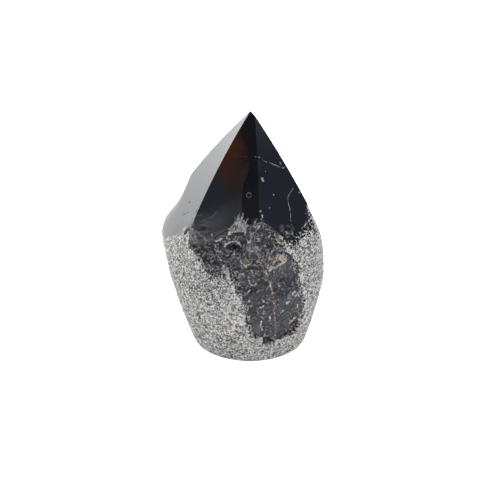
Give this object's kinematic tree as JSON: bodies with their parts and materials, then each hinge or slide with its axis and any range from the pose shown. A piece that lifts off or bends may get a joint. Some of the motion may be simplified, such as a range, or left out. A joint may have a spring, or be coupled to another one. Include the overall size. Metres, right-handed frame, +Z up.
{
  "type": "agate point",
  "caption": "Natural agate nodule with a flat cut base, ground above to a polished six-sided point, with a chipped window in its rind.",
  "frame": {"origin": "middle of the stone's box, at the flat cut base it stands on", "axes": "+Z up towards the polished tip, -Y towards the front with the chipped window, +X to the right seen from the front"},
  "size_m": [0.057, 0.0536, 0.085],
  "materials": {
    "stone": "black polished faces and chipped window, granular grey rind"
  },
  "bodies": {
    "root": {"agate": "stone"}
  },
  "joints": []
}
